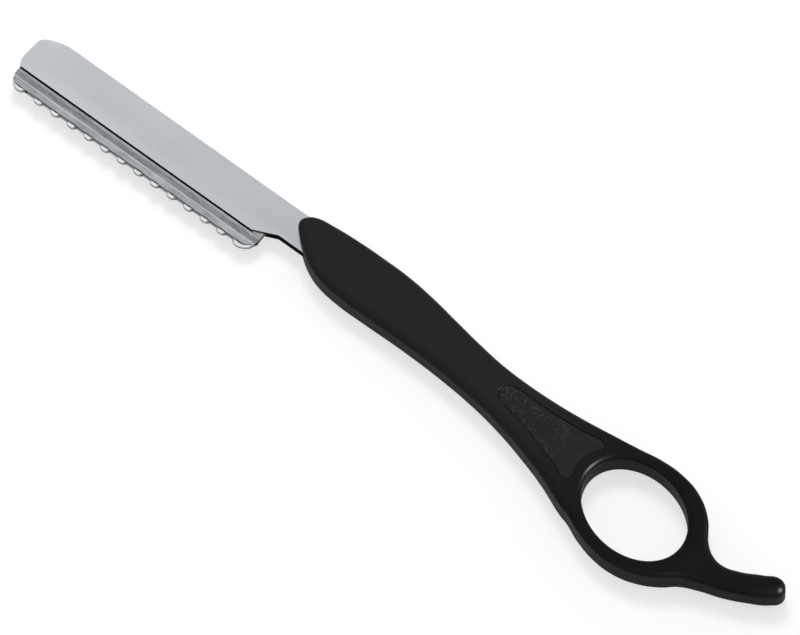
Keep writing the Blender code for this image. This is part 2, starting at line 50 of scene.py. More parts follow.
guardStart, handleStart = 0.1, 77.9
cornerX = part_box("comb_guard")[0].x - guardStart * mm
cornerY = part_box("blade_holder")[0].y
middle = (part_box("blade_holder")[0].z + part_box("blade_holder")[1].z) / 2 / mm
print("frame loaded, half thickness", round(middle, 3))


# Helpers for outlines and grids

def unit(v):
    return v / np.maximum(np.linalg.norm(v, axis=-1, keepdims=True), 1e-12)


def roundedOutline(corners, steps=10):
    # Each corner (x, y, radius) of a closed outline becomes an arc that touches both its sides.
    c = np.array(corners, float)
    p, r = c[:, :2], c[:, 2]
    before, after = unit(np.roll(p, 1, 0) - p), unit(np.roll(p, -1, 0) - p)
    half = np.arccos(np.clip((before * after).sum(1), -1, 1)) / 2
    centre = p + unit(before + after) * (r / np.sin(half))[:, None]
    start = p + before * (r / np.tan(half))[:, None] - centre
    cross = before[:, 0] * after[:, 1] - before[:, 1] * after[:, 0]
    turn = (pi - 2 * half) * np.where(cross < 0, 1, -1)
    angle = np.arctan2(start[:, 1], start[:, 0])[:, None] + turn[:, None] * np.linspace(0, 1, steps + 1)
    arcs = centre[:, None] + r[:, None, None] * np.stack([np.cos(angle), np.sin(angle)], -1)
    points = arcs.reshape(-1, 2)
    return points[np.linalg.norm(points - np.roll(points, 1, 0), axis=1) > 1e-6]


def smoothOutline(points, steps=14):
    # A closed cubic curve through the points; at each one the handles lie along the sum of the two
    # unit vectors of its sides, as long as that side over 2.5614.
    p = np.array(points, float)
    a, b = p - np.roll(p, 1, 0), np.roll(p, -1, 0) - p
    la, lb = np.linalg.norm(a, axis=1, keepdims=True), np.linalg.norm(b, axis=1, keepdims=True)
    t = a / la + b / lb
    t /= 2.5614 * np.linalg.norm(t, axis=1, keepdims=True)
    left, right = p - t * la, p + t * lb
    q, leftNext = np.roll(p, -1, 0), np.roll(left, -1, 0)
    s = (np.arange(steps) / steps)[None, :, None]
    curve = ((1 - s) ** 3 * p[:, None] + 3 * (1 - s) ** 2 * s * right[:, None]
             + 3 * (1 - s) * s ** 2 * leftNext[:, None] + s ** 3 * q[:, None])
    return curve.reshape(-1, 2)


def smoothLine(points, steps=8):
    # An open cubic curve through the points; its slope at each is half the way between the two beside it.
    p = np.array(points, float)
    slope = np.gradient(p, axis=0)
    s = np.append((np.arange((len(p) - 1) * steps) % steps) / steps, 1)[:, None]
    i = np.append(np.arange((len(p) - 1) * steps) // steps, len(p) - 2)
    return ((2 * s ** 3 - 3 * s ** 2 + 1) * p[i] + (s ** 3 - 2 * s ** 2 + s) * slope[i]
            + (3 * s ** 2 - 2 * s ** 3) * p[i + 1] + (s ** 3 - s ** 2) * slope[i + 1])


def inwards(loop):
    # Unit normals of a closed loop that point into it.
    along = unit(np.roll(loop, -1, 0) - np.roll(loop, 1, 0))
    nextOne = np.roll(loop, -1, 0)
    area = (loop[:, 0] * nextOne[:, 1] - nextOne[:, 0] * loop[:, 1]).sum()
    return np.stack([-along[:, 1], along[:, 0]], 1) * (1 if area > 0 else -1)


def gridFaces(rows, columns, ringRows=False, ringColumns=False):
    # Quads between the neighbouring rows and columns of a grid of points.
    r = np.arange(rows if ringRows else rows - 1)[:, None]
    c = np.arange(columns if ringColumns else columns - 1)[None, :]
    rn, cn = (r + 1) % rows, (c + 1) % columns
    corners = [r * columns + c, r * columns + cn, rn * columns + cn, rn * columns + c]
    return np.stack(corners, -1).reshape(-1, 4)


def band(loop, inset, height, towards):
    # A profile carried round a closed loop: each of its rows lies inset from the loop, towards the
    # given side, at its own height. Both may change along the loop.
    inset, height = np.broadcast_arrays(np.asarray(inset, float), np.asarray(height, float))
    if inset.ndim == 1:
        inset, height = inset[:, None], height[:, None]
    height = np.broadcast_to(height, (inset.shape[0], len(loop)))
    flat = loop[None] + towards[None] * inset[..., None]
    points = np.concatenate([flat, height[..., None]], -1)
    return points.reshape(-1, 3), gridFaces(points.shape[0], len(loop), ringColumns=True)


def flatFill(loops, height):
    # Triangles over the flat area between closed loops: those whose middle a ray leaves across an odd
    # number of sides.
    start = np.concatenate(loops)
    end = np.concatenate([np.roll(loop, -1, 0) for loop in loops])
    first = np.cumsum([0] + [len(loop) for loop in loops])
    sides = [(a + i, a + (i + 1) % (b - a)) for a, b in zip(first, first[1:]) for i in range(b - a)]
    spots, _, faces, *_ = delaunay_2d_cdt([Vector(p) for p in start], sides, [], 0, 1e-7)
    spots, faces = np.array([tuple(p) for p in spots]), np.array(faces)
    x, y = spots[faces].mean(1).T[..., None]
    with np.errstate(divide="ignore", invalid="ignore"):
        crossing = start[:, 0] + (end[:, 0] - start[:, 0]) * (y - start[:, 1]) / (end[:, 1] - start[:, 1])
    hits = ((start[:, 1] > y) != (end[:, 1] > y)) & (x < crossing)
    return np.column_stack([spots, np.full(len(spots), height)]), faces[hits.sum(1) % 2 == 1]


def ringCaps(ring, columns):
    # Quads that close a hollow section: its first half of rows is the outside, its second half the
    # inside, run back the other way.
    n = len(ring) // 2
    return [(np.concatenate([ring[:n, c], ring[n:, c][::-1]]), gridFaces(2, n)) for c in columns]


def mirrored(patches):
    # The same patches on the other side of the middle.
    return [(p[0] * (1, 1, -1) + (0, 0, 2 * middle), *p[1:]) for p in patches]


def makePiece(name, patches, sharpAngle=38, merge=0.004):
    # The patches' points merged into closed surfaces, faces turned outwards. A patch is points, faces
    # and, where it has more than one finish, its faces' slots.
    points = np.concatenate([patch[0] for patch in patches]) * mm + (cornerX, cornerY, 0)
    firsts = np.cumsum([0] + [len(patch[0]) for patch in patches])
    faces = [face for first, patch in zip(firsts, patches)
             for face in (np.asarray(patch[1]) + first).tolist()]
    slots = np.concatenate([patch[2] if len(patch) > 2 else np.zeros(len(patch[1])) for patch in patches])
    mesh = bpy.data.meshes.new(name)
    mesh.from_pydata(points.tolist(), [], faces)
    mesh.polygons.foreach_set("material_index", slots.astype(np.int32))
    bm = bmesh.new()
    bm.from_mesh(mesh)
    bmesh.ops.remove_doubles(bm, verts=bm.verts, dist=merge * mm)
    bmesh.ops.dissolve_degenerate(bm, edges=bm.edges, dist=1e-7)
    bmesh.ops.recalc_face_normals(bm, faces=bm.faces)
    openEdges = sum(1 for edge in bm.edges if len(edge.link_faces) != 2)
    bm.to_mesh(mesh)
    bm.free()
    piece = bpy.data.objects.new(name, mesh)
    bpy.context.scene.collection.objects.link(piece)
    mesh.shade_smooth()
    mesh.set_sharp_from_angle(angle=radians(sharpAngle))
    print(name, len(mesh.polygons), "faces,", openEdges, "open edges")
    return piece


def prism(loop, low, high):
    # A straight block over a closed loop.
    loop = np.asarray(loop, float)
    walls = band(loop, [0, 0], [low, high], np.zeros_like(loop))
    return [walls, flatFill([loop], low), flatFill([loop], high)]


def circle(x, y, radius, count=32):
    turn = np.arange(count) * 2 * pi / count
    return np.stack([x + radius * np.cos(turn), y + radius * np.sin(turn)], 1)


def drawn(name):
    # A CAD node's box in drawing millimetres.
    return [(np.array(corner) - (cornerX, cornerY, 0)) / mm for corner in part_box(name)]


def roundBore(name, clearance, low, high):
    # A round block over an upright CAD pin or screw.
    near, far = drawn(name)
    x, y = (near[:2] + far[:2]) / 2
    return prism(circle(x, y, (far[0] - near[0]) / 2 + clearance), low, high)


def bake(piece, sharpAngle=38):
    # Applies the piece's modifiers.
    graph = bpy.context.evaluated_depsgraph_get()
    mesh = bpy.data.meshes.new_from_object(piece.evaluated_get(graph))
    piece.modifiers.clear()
    piece.data = mesh
    mesh.shade_smooth()
    mesh.set_sharp_from_angle(angle=radians(sharpAngle))


def straightenFlats(piece):
    # Level faces get upright shading at all their corners, also where an eased edge joins them.
    mesh = piece.data
    corner, face = np.empty(len(mesh.loops) * 3), np.empty(len(mesh.polygons) * 3)
    mesh.corner_normals.foreach_get("vector", corner)
    mesh.polygons.foreach_get("normal", face)
    sides = np.empty(len(mesh.polygons), np.int32)
    mesh.polygons.foreach_get("loop_total", sides)
    corner, face = corner.reshape(-1, 3), np.repeat(face.reshape(-1, 3), sides, 0)
    level = np.abs(face[:, 2]) > 0.9999
    mesh.normals_split_custom_set(np.where(level[:, None], face, corner))


def cutWith(piece, blocks, operation="DIFFERENCE"):
    cutters = [makePiece(f"{piece.name}Cut{index}", block) for index, block in enumerate(blocks)]
    for cutter in cutters:
        step = piece.modifiers.new("cut", "BOOLEAN")
        step.operation, step.solver, step.object = operation, "EXACT", cutter
    bake(piece)
    for cutter in cutters:
        bpy.data.objects.remove(cutter)


def dress(piece, finishes, body, node, paintedSheenAndWear=None):
    # Finishes in the order of the faces' slots, what the piece rides on and stands for, and a value from 0 to
    # 1 at each point, by its place in drawing millimetres and its normal: a painted highlight on steel, edge
    # wear on plastic.
    mesh = piece.data
    for finish in finishes:
        mesh.materials.append(finish)
    place, normal = np.empty(len(mesh.vertices) * 3), np.empty(len(mesh.vertices) * 3)
    mesh.vertices.foreach_get("co", place)
    mesh.vertex_normals.foreach_get("vector", normal)
    place = (place.reshape(-1, 3) - (cornerX, cornerY, 0)) / mm
    amount = (paintedSheenAndWear or edgeRub)(place, normal.reshape(-1, 3))
    values = np.clip(amount, 0, 1).astype(np.float32)
    mesh.attributes.new("paintedSheenAndWear", "FLOAT", "POINT").data.foreach_set("value", values)
    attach(piece, body)
    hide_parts(node)


def edgeRub(place, normal):
    # Strongest where a surface leans half way between flat and upright, none on flats and walls.
    lean = normal[:, 2] ** 2
    return (4 * lean * (1 - lean) - 0.25) / 0.75


def markFaces(piece, test, index):
    # Gives the faces that pass the test, by middle in drawing millimetres and normal, another slot.
    mesh = piece.data
    centre, normal = np.empty(len(mesh.polygons) * 3), np.empty(len(mesh.polygons) * 3)
    mesh.polygons.foreach_get("center", centre)
    mesh.polygons.foreach_get("normal", normal)
    centre = (centre.reshape(-1, 3) - (cornerX, cornerY, 0)) / mm
    slots = np.where(test(centre, normal.reshape(-1, 3)), index, 0)
    mesh.polygons.foreach_set("material_index", slots.astype(np.int32))


# Helpers for finishes

def addNode(tree, kind, inputs=None, **settings):
    item = tree.nodes.new("ShaderNode" + kind)
    for key, value in settings.items():
        setattr(item, key, value)
    for key, value in (inputs or {}).items():
        if isinstance(value, bpy.types.NodeSocket):
            tree.links.new(value, item.inputs[key])
        else:
            item.inputs[key].default_value = value
    return item


def newFinish(name, **shaderInputs):
    finish = bpy.data.materials.new(name)
    finish.use_nodes = True
    shader = finish.node_tree.nodes["Principled BSDF"]
    for key, value in shaderInputs.items():
        shader.inputs[key.replace("_", " ")].default_value = value
    return finish, finish.node_tree, shader


def noise(tree, scale, detail=2.0, turn=0.0):
    # Noise on Object coordinates, with its scale per metre along x, y and z after a turn about z.
    spot = addNode(tree, "TexCoord").outputs["Object"]
    spot = addNode(tree, "Mapping", {"Vector": spot, "Scale": scale, "Rotation": (0, 0, turn)}).outputs[0]
    return addNode(tree, "TexNoise", {"Vector": spot, "Scale": 1.0, "Detail": detail}).outputs["Fac"]


def remap(tree, value, low, high, newLow=0.0, newHigh=1.0, way="LINEAR"):
    return addNode(tree, "MapRange", {"Value": value, "From Min": low, "From Max": high, "To Min": newLow,
                                      "To Max": newHigh}, interpolation_type=way).outputs[0]


def math(tree, operation, one, two):
    return addNode(tree, "Math", {0: one, 1: two}, operation=operation).outputs[0]


def mixColour(tree, factor, one, two):
    mixer = addNode(tree, "Mix", data_type="RGBA")
    for index, value in ((0, factor), (6, one), (7, two)):
        if isinstance(value, bpy.types.NodeSocket):
            tree.links.new(value, mixer.inputs[index])
        else:
            mixer.inputs[index].default_value = value
    return mixer.outputs[2]


def tint(level, green=1.0, blue=1.0):
    return (level, level * green, level * blue, 1)


# The per-point value: a painted highlight on the steel pieces, edge wear on the plastic shells.
def paintedSheenAndWearValue(tree):
    return addNode(tree, "Attribute", attribute_name="paintedSheenAndWear").outputs["Fac"]


def addBump(tree, shader, height, strength, distance, under=None):
    inputs = {"Height": height, "Strength": strength, "Distance": distance}
    if under is not None:
        inputs["Normal"] = under
    bump = addNode(tree, "Bump", inputs).outputs[0]
    tree.links.new(bump, shader.inputs["Normal"])
    return bump


# Finishes

sheetSteel = {"colour": 0.42, "spread": 0.06, "streakShare": 0.05, "pale": 0.95, "roughness": 0.255,
              "uneven": 0.008, "streaks": (60, 5000, 5000), "streakDepth": 0.003, "clouds": (22, 70, 70),
              "cloudTurn": 0.35, "wave": 0.10}
guardSteel = {**sheetSteel, "colour": 0.31, "spread": 0.30, "streakShare": 0.5, "pale": 0.50,
              "roughness": 0.305, "uneven": 0.035, "streaks": (600, 2800, 2800), "streakDepth": 0.16,
              "clouds": (180, 700, 700), "cloudTurn": 0.0, "wave": 0.05}
foldSteelPaintedHighlight = {**sheetSteel, "colour": 0.80, "spread": 0.03, "pale": 0.9, "roughness": 0.125,
             "uneven": 0.035, "streaks": (900, 900, 900), "streakDepth": 0.03, "wave": 0.0}
bladeSteel = {**sheetSteel, "colour": 0.50, "spread": 0.05, "uneven": 0.035,
              "streaks": (5000, 80, 5000), "wave": 0.04}
plateSteel = {**sheetSteel, "colour": 0.30, "spread": 0.10, "roughness": 0.425, "uneven": 0.035, "wave": 0.04}
fastenerSteel = {**plateSteel, "colour": 0.36, "streaks": (900, 900, 900)}


def steelFinish(name, s):
    # Rolled steel sheet: fine streaks along it over long soft waves, paler and smoother by the per-point
    # value, a painted highlight.
    finish, tree, shader = newFinish(name, Metallic=1.0)
    streak = noise(tree, s["streaks"], detail=3.0)
    cloud = noise(tree, s["clouds"], detail=2.0, turn=s["cloudTurn"])
    fine = math(tree, "MULTIPLY", streak, s["streakShare"])
    coarse = math(tree, "MULTIPLY", cloud, 1 - s["streakShare"])
    factor = remap(tree, math(tree, "ADD", fine, coarse), 0.35, 0.65)
    dark, light = s["colour"] * (1 - s["spread"]), s["colour"] * (1 + s["spread"])
    colour = mixColour(tree, factor, tint(dark, 1.045, 1.085), tint(light, 1.045, 1.085))
    # Painted highlight: the colour turns pale by the per-point value.
    paintedSheenAndWear = paintedSheenAndWearValue(tree)
    tree.links.new(mixColour(tree, paintedSheenAndWear, colour, tint(s["pale"], 1.03, 1.05)), shader.inputs["Base Color"])
    rough = remap(tree, streak, 0.3, 0.7, s["roughness"] - s["uneven"], s["roughness"] + s["uneven"])
    rough = math(tree, "MULTIPLY", rough, remap(tree, paintedSheenAndWear, 0.0, 1.0, 1.0, 0.75))
    tree.links.new(rough, shader.inputs["Roughness"])
    soft = addBump(tree, shader, cloud, s["wave"], 0.002)
    addBump(tree, shader, streak, s["streakDepth"], 0.0001, soft)
    return finish


edgeAndPaintedShadeTone = {"colour": 0.010, "spread": 0.4, "roughness": 0.6, "specular": 0.10, "grain": 2400}


def edgeAndPaintedShadeFinish(name, s):
    # Near-black, dull and a little uneven: stamped edges darkened further as painted shade, and painted shade
    # between leaves, in creases and at teeth.
    finish, tree, shader = newFinish(name, Specular_IOR_Level=s["specular"])
    grain = noise(tree, (s["grain"],) * 3, detail=3.0)
    factor = remap(tree, grain, 0.35, 0.65)
    dark, light = s["colour"] * (1 - s["spread"]), s["colour"] * (1 + s["spread"])
    tree.links.new(mixColour(tree, factor, tint(dark), tint(light)), shader.inputs["Base Color"])
    tree.links.new(remap(tree, grain, 0.3, 0.7, s["roughness"] - 0.08, s["roughness"] + 0.08),
                   shader.inputs["Roughness"])
    addBump(tree, shader, grain, 0.3, 0.00003)
    return finish


satinPlastic = {"front": 0.0155, "rear": 0.0030, "fade": (0.030, 0.075), "clouds": 0.10, "pale": 0.020,
                "roughness": 0.42, "specular": 0.07, "grain": 2600, "grainDepth": 0.10}


def plasticFinish(name, s):
    # Satin moulded plastic, painted paler towards the front end and blacker towards the ring as the light
    # falls along it, with fine grain, clouds of polish and slightly worn edges.
    finish, tree, shader = newFinish(name, Specular_IOR_Level=s["specular"])
    cloud = noise(tree, (90, 90, 90), detail=4.0)
    grain = noise(tree, (s["grain"],) * 3)
    # Painted light: the base colour fades from the paler front tone to the blacker rear tone along x.
    along = addNode(tree, "SeparateXYZ", {0: addNode(tree, "TexCoord").outputs["Object"]}).outputs["X"]
    back = remap(tree, along, *s["fade"], way="SMOOTHSTEP")
    base = mixColour(tree, back, tint(s["front"], 1.09, 1.05), tint(s["rear"], 1.09, 1.05))
    cloudy = remap(tree, cloud, 0.3, 0.7)
    base = mixColour(tree, math(tree, "MULTIPLY", cloudy, s["clouds"]), base, tint(s["pale"]))
    paintedSheenAndWear = math(tree, "MULTIPLY", paintedSheenAndWearValue(tree), remap(tree, cloud, 0.3, 0.7, 0.1, 0.45))
    tree.links.new(mixColour(tree, paintedSheenAndWear, base, tint(s["pale"], 1.0, 1.03)), shader.inputs["Base Color"])
    tree.links.new(remap(tree, cloud, 0.25, 0.75, s["roughness"] - 0.05, s["roughness"] + 0.06),
                   shader.inputs["Roughness"])
    addBump(tree, shader, grain, s["grainDepth"], 0.00005)
    return finish


roughGrip = {"colour": 0.0140, "speck": 0.09, "fade": (0.030, 0.058), "roughness": 0.62, "specular": 0.08,
             "grain": 1400, "depth": 0.75}


def gripFinish(name, s):
    # Rough moulded field: small pits and grains, with pale specks, most of them towards its front end.
    finish, tree, shader = newFinish(name, Specular_IOR_Level=s["specular"])
    spot = addNode(tree, "TexCoord").outputs["Object"]
    grains = addNode(tree, "TexVoronoi", {"Vector": spot, "Scale": s["grain"]}).outputs["Distance"]
    fine = noise(tree, (s["grain"] * 1.7,) * 3, detail=3.0)
    cloud = noise(tree, (220, 220, 220), detail=3.0)
    along = addNode(tree, "SeparateXYZ", {0: spot}).outputs["X"]
    speckShare = math(tree, "MULTIPLY", remap(tree, cloud, 0.35, 0.65, 0.2, 1.0),
                remap(tree, along, *s["fade"], 1.0, 0.15))
    speck = math(tree, "MULTIPLY", remap(tree, fine, 0.52, 0.68), speckShare)
    base = mixColour(tree, cloud, tint(s["colour"] * 0.75, 1.02, 1.06), tint(s["colour"] * 1.25, 1.02, 1.08))
    tree.links.new(mixColour(tree, speck, base, tint(s["speck"], 1.0, 1.03)), shader.inputs["Base Color"])
    tree.links.new(remap(tree, cloud, 0.3, 0.7, s["roughness"] - 0.07, s["roughness"] + 0.08),
                   shader.inputs["Roughness"])
    coarse = addBump(tree, shader, grains, s["depth"], 0.00012)
    addBump(tree, shader, fine, s["depth"] * 0.6, 0.00006, coarse)
    return finish


brightSheet = steelFinish("brightSheetSteel", sheetSteel)
brushedSheet = steelFinish("brushedGuardSteel", guardSteel)
polishedFoldPaintedHighlight = steelFinish("polishedToothSteelPaintedHighlight", foldSteelPaintedHighlight)
groundBlade = steelFinish("groundBladeSteel", bladeSteel)
plainPlate = steelFinish("plainPlateSteel", plateSteel)
platedFastener = steelFinish("platedFastenerSteel", fastenerSteel)
stampedEdgeAndPaintedShade = edgeAndPaintedShadeFinish("stampedEdgePaintedShade", edgeAndPaintedShadeTone)
blackPlastic = plasticFinish("satinBlackPlastic", satinPlastic)
gripRubber = gripFinish("roughGripRubber", roughGrip)
print("finishes made")


# Blade holder

holder = {"sheet": 0.6, "width": 11.1, "thickness": 2.8, "fold": 0.4, "bevel": 0.07, "pastSpine": 0.4,
          "tip": [(0.45, 0), (-0.12, 0.36), (-0.55, 1.25), (-0.74, 2.6), (-0.68, 4.2), (-0.53, 5.8),
                  (-0.36, 7.3), (0, 8.25), (0.7, 8.97), (1.6, 9.5), (2.9, 10.05), (4.5, 10.52),
                  (6.5, 10.92), (9.2, 11.1)],
          "neckStart": 69.7, "neckRise": 2.75, "neckRun": 6.1, "neckRadius": 2.5,
          "tang": 34.0, "tangStep": 1.6, "tangStepStart": 2.4, "tangStepRun": 3.3, "tangCorner": 1.2,
          "pinClearance": 0.1}


def holderPlan(h, grow=0.0, over=0.0):
    # Seen from above, as much larger all round as grow, and past the spine as over.
    start, spine = handleStart + h["tangStepStart"], h["width"] + over
    top, end = h["width"] - h["tangStep"], handleStart + h["tang"]
    plan = roundedOutline([(x, y, 0) for x, y in smoothLine(h["tip"])] + [
        (h["tip"][-1][0] + over, spine, 0), (start, spine, 0), (start + h["tangStepRun"], top, 0),
        (end, top, h["tangCorner"]), (end, h["neckRise"], h["tangCorner"]),
        (h["neckStart"] + h["neckRun"], h["neckRise"], h["neckRadius"]),
        (h["neckStart"], 0, h["neckRadius"])], 14)
    return plan - inwards(plan) * grow


def foldedSection(h):
    # Half of a closed section (y, z): out along the leaf's outer face, round the fold's quarter circle, and
    # back inside it. Points stand close together beside the fold, where the faces start to curve.
    half, turn = h["thickness"] / 2, np.linspace(pi / 2, 0, 10)
    rows = []
    inside = (half - h["sheet"], max(h["fold"] - h["sheet"], 0.1), h["width"] - h["sheet"])
    for face, radius, spine in ((half, h["fold"], h["width"]), inside):
        flat = np.array([-2.0, 4.0, 8.0, spine - radius - 0.08])
        rows.append(np.concatenate([np.stack([flat, np.full(4, face)], 1),
                                    np.stack([spine - radius + radius * np.cos(turn),
                                              face - radius + radius * np.sin(turn)], 1)]))
    outer, inner = rows
    flip = (1, -1)
    return np.concatenate([outer, outer[::-1] * flip, inner * flip, inner[::-1]])


def makeHolder(h):
    # The folded section carried along x and trimmed to the plan, with its edges eased.
    section = foldedSection(h)
    x = np.concatenate([np.arange(-3.0, 12.0, 0.5), np.linspace(12.0, handleStart + h["tang"] + 2, 25)])
    ring = np.stack([np.broadcast_to(x, (len(section), len(x))), np.repeat(section[:, :1], len(x), 1),
                     np.repeat(section[:, 1:] + middle, len(x), 1)], -1)
    sheet = (ring.reshape(-1, 3), gridFaces(len(ring), len(x), ringRows=True))
    piece = makePiece("bladeHolder", [sheet] + ringCaps(ring, (0, -1)), merge=0.0005)
    under, over = middle - h["thickness"], middle + h["thickness"]
    cutWith(piece, [prism(holderPlan(h, over=h["pastSpine"]), under, over)], "INTERSECT")
    cutWith(piece, [roundBore(pin, h["pinClearance"], under, over)
                    for pin in ("tang_pin_front", "tang_pin_rear")])
    ease = piece.modifiers.new("ease", "BEVEL")
    ease.width, ease.segments, ease.angle_limit = h["bevel"] * mm, 2, radians(50)
    ease.use_clamp_overlap = False
    bake(piece, 60)
    straightenFlats(piece)
    # Painted shade: the leaves' inner faces, shaded between them, and their stamped edges on the open side
    # take the near-black finish.
    markFaces(piece, lambda c, n: ((np.abs(c[:, 2] - middle) < h["thickness"] / 2 - h["sheet"] + 0.1)
                                   | (n[:, 1] < -0.75)) & (c[:, 1] < h["width"] - h["sheet"]), 1)
    # Painted highlight: every face leaning away from flat, the fold and the eased edges, is painted pale.
    dress(piece, [brightSheet, stampedEdgeAndPaintedShade], "handle", "blade_holder",
          lambda place, normal: 6 * (1 - normal[:, 2] ** 2))


makeHolder(holder)


# Comb guard

guard = {"length": 72.7, "sheet": 0.5, "half": 1.1,
         "profile": ((5.5, 0.55), (4.7, 0.55), (4.4, 0.72), (0.7, 0.72), (0.5, 0.60), (-0.12, 0.60),
                     (-0.24, 0.76), (-0.9, 0.76), (-2.45, 1.10), (-9, 1.10)),
         "soft": 0.08, "slotEdge": 4.05, "cornerReach": 2.6, "cornerPower": (2.0, 1.4),
         "toothReach": 1.05, "toothWidth": 2.7, "tipRadius": 1.15, "flank": 0.38, "flankTurn": 0.12,
         "flankCut": 0.1, "pitch": 5.0, "firstTooth": 8.8, "toothCount": 12, "rootOver": 0.05,
         "leastInside": 0.75, "bumperRoot": (0.3, 0.1), "groove": 0.12, "grooveWidth": 0.25,
         "darkTurn": 0.29, "darkRim": 1.15, "crease": (-0.15, 0.6), "creaseEnd": 69.3, "creaseFade": 0.6,
         "creaseRoom": (-0.24, 4.4), "creaseFill": 0.72, "endLine": 0.14, "ridge": -2.5,
         "ridgeWidth": 0.16, "ridgePaintedHighlight": 0.75}
bumperRims = {"left": [(0.16, -2.47), (0.45, -3.4), (1.0, -4.15), (1.9, -4.8), (3.06, -5.1),
                       (4.1, -4.75), (4.6, -4.1)],
              "right": [(0.3, -2.4), (0.65, -3.45), (1.4, -4.28), (2.64, -5.0), (3.96, -5.22),
                        (5.1, -4.8), (5.5, -4.1)]}


def wallEdge(fromEnd, power, g):
    # How low the wall reaches at a distance from its end: the corner is part of a superellipse.
    c = g["cornerReach"]
    inCorner = np.clip(c - fromEnd, 0, c) / c
    return -g["slotEdge"] + c * (1 - (1 - inCorner ** power) ** (1 / power))


def guardWall(g):
    # One wall of the guard: its outer line from the tongue's edge over the shoulder to the slots' line,
    # and the inner line a sheet's thickness below, carried along x.
    end, c = g["length"], g["cornerReach"]
    near = c * (1 - np.cos(np.linspace(0, pi / 2, 20)))
    x = np.unique(np.round(np.concatenate([near, np.linspace(c, end - c, 130), end - near]), 5))
    left, right = g["cornerPower"]
    edge = np.where(x < end / 2, wallEdge(x, left, g), wallEdge(end - x, right, g))
    upper = g["profile"][0][0]
    v = np.concatenate([np.linspace(0, 0.5, 12)[:-1], np.linspace(0.5, 1, 48)])[:, None]
    y = np.where(v < 0.5, upper * (1 - 2 * v) + 0 * edge, (2 * v - 1) * edge)
    ys, zs = np.array(g["profile"]).T
    z = sum(weight * np.interp(-(y + shift), -ys, zs)
            for weight, shift in ((0.25, -g["soft"]), (0.5, 0), (0.25, g["soft"])))
    low, high = g["creaseRoom"]
    filled = np.clip((x - g["creaseEnd"]) / g["creaseFade"], 0, 1) * (y > low) * (y < high)
    z = np.maximum(z, filled * g["creaseFill"])
    shifted = np.broadcast_to(x, y.shape) + guardStart
    rows = [np.stack([shifted, y, z - depth + middle], -1) for depth in (0, g["sheet"])]
    ring = np.concatenate([rows[0], rows[1][::-1]])
    across = (ring[1:, :-1, 1] + ring[:-1, 1:, 1]) / 2
    along = (x[1:] + x[:-1]) / 2
    # Painted shade: faces in the crease under the leaf's edge, and a line along the guard's end, take the
    # near-black finish.
    dark = (across > g["crease"][0]) & (across < g["crease"][1]) & (along < g["creaseEnd"])
    dark |= along > end - g["endLine"]
    slots = np.append(np.where(dark, 2, 0).ravel(), np.zeros(len(along)))
    sheet = (ring.reshape(-1, 3), gridFaces(len(ring), len(x), ringRows=True), slots)
    return [sheet] + ringCaps(ring, (0, -1))


def roundFold(root, rim, g):
    # A tooth or bumper, half round from the wall's face over its rim to the other wall. A point lies at
    # root plus sin(turn) of the way to the rim, at a height of cos(turn) of the guard's half thickness,
    # less in a groove where it leaves the wall. The inside is the same, smaller by the sheet.
    turn = np.linspace(0, pi, 41)[:, None]
    reach = np.linalg.norm(rim - root, axis=1)
    way = unit(rim - root)
    groove = 1 - g["groove"] * np.exp(-(np.minimum(turn, pi - turn) / g["grooveWidth"]) ** 2)
    sheets = []
    inside = np.maximum(reach - g["sheet"], reach * g["leastInside"])
    for length, half in ((reach, g["half"]), (inside, g["half"] - g["sheet"])):
        flat = root[None] + way[None] * (length * np.sin(turn))[..., None]
        sheets.append(np.concatenate([flat, (half * np.cos(turn) * groove + 0 * length)[..., None]], -1))
    ring = np.concatenate([sheets[0], sheets[1][::-1]]) + (guardStart, 0, middle)
    between = (turn[1:, 0] + turn[:-1, 0]) / 2
    fromWall = np.minimum(between, pi - between)
    rims = (fromWall > g["darkRim"])[:, None]
    fromEnd = np.minimum(np.abs(rim[:, 0] - rim[0, 0]), np.abs(rim[:, 0] - rim[-1, 0]))
    flank = (fromEnd[1:] + fromEnd[:-1]) / 2 < g["flank"]
    # Painted light on each fold: the middle of its outer face takes the bright polished finish as a painted
    # highlight, its rim and flanks keep the guard's brushed finish, its roots and inside the near-black
    # finish as painted shade, its stamped ends too.
    slots = np.full((len(ring), len(root) - 1), 2)
    slots[:len(between)] = np.where((fromWall < g["darkTurn"])[:, None], 2, np.where(rims | flank, 0, 1))
    caps = [(p, f, np.full(len(f), 2)) for p, f in ringCaps(ring, (0, -1))]
    return [(ring.reshape(-1, 3), gridFaces(*ring.shape[:2], ringRows=True), slots.ravel())] + caps


def toothRim(g, steps=24):
    # The outline of a tooth from flank to flank: two corner arcs and the flat between them.
    r, half = g["tipRadius"], g["toothWidth"] / 2
    turn = np.linspace(g["flankTurn"], pi / 2, steps)
    low = -g["slotEdge"] - g["toothReach"]
    left = np.stack([-half + r * (1 - np.cos(turn)), low + r * (1 - np.sin(turn))], 1)
    left = left[left[:, 1] < -g["slotEdge"] - g["flankCut"]]
    return np.concatenate([left, left[::-1] * (-1, 1)])


